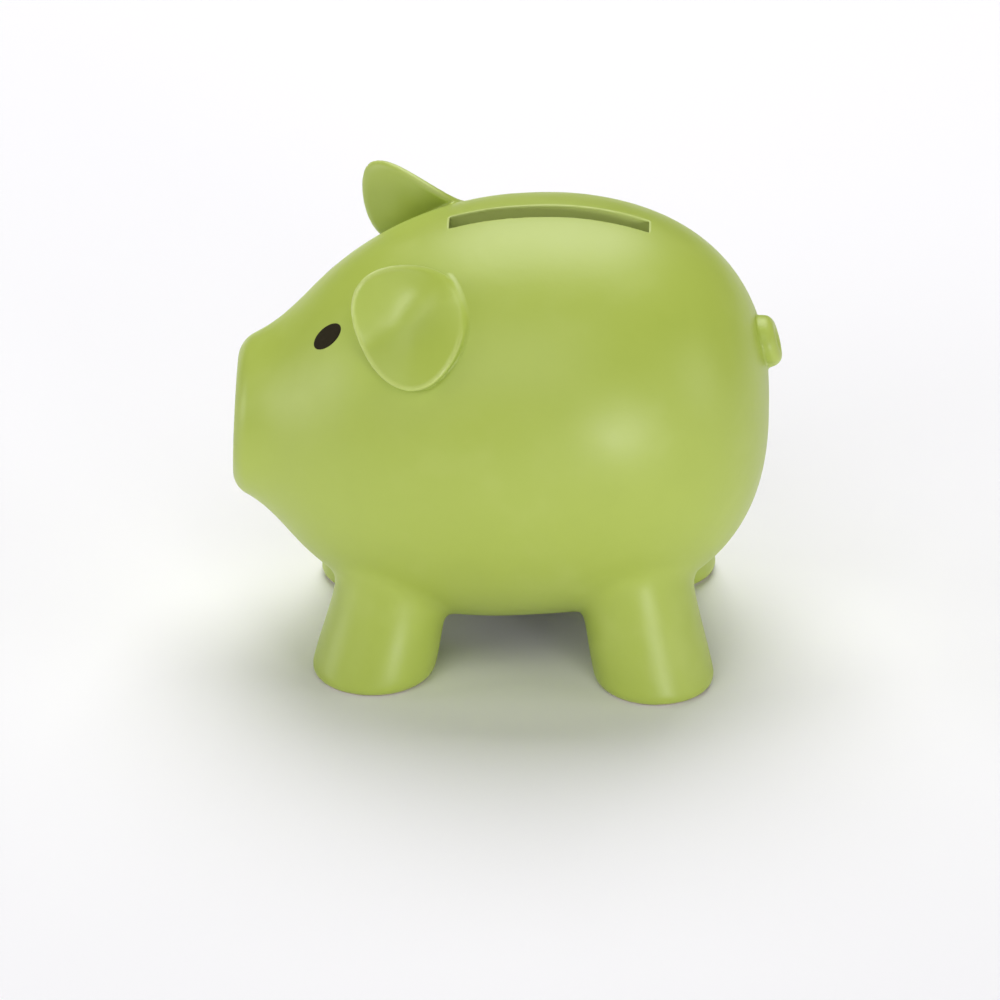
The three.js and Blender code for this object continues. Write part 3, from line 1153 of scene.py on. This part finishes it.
def add_softbox(name, turn, height, size, power):
    """A square soft light that faces the bank from that turn and height."""
    lamp = bpy.data.lights.new(name, "AREA")
    lamp.shape = "SQUARE"
    lamp.size = size
    lamp.energy = power
    level = math.cos(height)
    direction = Vector((math.sin(turn) * level, -math.cos(turn) * level, math.sin(height)))
    thing = bpy.data.objects.new(name, lamp)
    thing.location = LIT_POINT + direction * LIGHT_DISTANCE
    thing.visible_camera = False
    bpy.context.scene.collection.objects.link(thing)
    aim(thing, LIT_POINT)


def make_surround(stage):
    """White surroundings: even light, and plain white where the floor ends."""
    world = bpy.data.worlds.new("white_surround")
    bpy.context.scene.world = world
    world.use_nodes = True
    tree = world.node_tree
    light = tree.nodes["Background"]
    light.inputs["Color"].default_value = (1.0, 1.0, 1.0, 1.0)
    light.inputs["Strength"].default_value = stage.surround
    seen = tree.nodes.new("ShaderNodeBackground")
    seen.inputs["Color"].default_value = SURROUND_WHITE
    path = tree.nodes.new("ShaderNodeLightPath")
    both = mix_shaders(tree, path.outputs["Is Camera Ray"], light, seen)
    tree.links.new(both.outputs[0], tree.nodes["World Output"].inputs["Surface"])


def make_camera(stage):
    camera = bpy.data.cameras.new("camera")
    camera.sensor_width = 36.0
    camera.lens = 36.0 * stage.view_distance / stage.view_width
    camera.clip_end = 50.0
    thing = bpy.data.objects.new("camera", camera)
    level = math.cos(stage.view_height)
    right = math.sin(stage.view_turn) * level
    near = -math.cos(stage.view_turn) * level
    back = Vector((right, near, math.sin(stage.view_height)))
    thing.location = VIEW_TARGET + back * stage.view_distance
    bpy.context.scene.collection.objects.link(thing)
    aim(thing, VIEW_TARGET)
    bpy.context.scene.camera = thing
    bpy.context.scene.view_settings.view_transform = "Standard"


# ---- Operators ----
class MakeShell(bpy.types.Operator):
    """Make the hollow head, trunk and legs with the coin slot."""

    bl_idname = "coin_bank.make_shell"
    bl_label = "Make shell"

    def execute(self, context):
        make_shell(context.scene.bank_shape, context.scene.bank_finish)
        return {"FINISHED"}


class MakeEars(bpy.types.Operator):
    """Make both ears."""

    bl_idname = "coin_bank.make_ears"
    bl_label = "Make ears"

    def execute(self, context):
        for side, node in ((-1, "left_ear"), (1, "right_ear")):
            make_ear(side, node, context.scene.bank_shape, context.scene.bank_finish)
        return {"FINISHED"}


class MakeTail(bpy.types.Operator):
    """Make the coiled tail."""

    bl_idname = "coin_bank.make_tail"
    bl_label = "Make tail"

    def execute(self, context):
        make_tail(context.scene.bank_shape, context.scene.bank_finish)
        return {"FINISHED"}


class MakeEyes(bpy.types.Operator):
    """Make both painted eyes."""

    bl_idname = "coin_bank.make_eyes"
    bl_label = "Make eyes"

    def execute(self, context):
        for side, node in ((-1, "left_eye"), (1, "right_eye")):
            make_eye(side, node, context.scene.bank_shape, context.scene.bank_finish)
        return {"FINISHED"}


class MakeStopper(bpy.types.Operator):
    """Make the rubber stopper in the belly."""

    bl_idname = "coin_bank.make_stopper"
    bl_label = "Make stopper"

    def execute(self, context):
        make_stopper(context.scene.bank_finish)
        return {"FINISHED"}


class MakeStage(bpy.types.Operator):
    """Make the floor, the lights, the surroundings and the camera."""

    bl_idname = "coin_bank.make_stage"
    bl_label = "Make stage"

    def execute(self, context):
        stage = context.scene.bank_stage
        make_floor(stage)
        make_surround(stage)
        for name, turn, height, size, power in SOFT_LIGHTS:
            power = power * stage.lamp_power
            add_softbox(name, math.radians(turn), math.radians(height), size, power)
        make_camera(stage)
        return {"FINISHED"}


class BankPanel(bpy.types.Panel):
    """Lists what can be made."""

    bl_idname = "VIEW3D_PT_coin_bank"
    bl_label = "Coin bank"
    bl_space_type = "VIEW_3D"
    bl_region_type = "UI"
    bl_category = "Coin bank"

    def draw(self, context):
        scene = context.scene
        for operator in OPERATORS:
            self.layout.operator(operator.bl_idname)
        for settings in (scene.bank_shape, scene.bank_finish, scene.bank_stage):
            box = self.layout.box()
            for name in settings.__annotations__:
                box.prop(settings, name)


OPERATORS = (MakeShell, MakeEars, MakeTail, MakeEyes, MakeStopper, MakeStage)
SETTINGS = (("bank_shape", BankShape), ("bank_finish", BankFinish), ("bank_stage", StageSettings))


def register():
    for name, group in SETTINGS:
        bpy.utils.register_class(group)
        setattr(bpy.types.Scene, name, bpy.props.PointerProperty(type=group))
    for operator in OPERATORS:
        bpy.utils.register_class(operator)
    bpy.utils.register_class(BankPanel)


def unregister():
    bpy.utils.unregister_class(BankPanel)
    for operator in reversed(OPERATORS):
        bpy.utils.unregister_class(operator)
    for name, group in reversed(SETTINGS):
        delattr(bpy.types.Scene, name)
        bpy.utils.unregister_class(group)


def main():
    register()
    bpy.ops.coin_bank.make_stage()
    bpy.ops.coin_bank.make_shell()
    bpy.ops.coin_bank.make_ears()
    bpy.ops.coin_bank.make_tail()
    bpy.ops.coin_bank.make_eyes()
    bpy.ops.coin_bank.make_stopper()


if __name__ == "__main__":
    main()
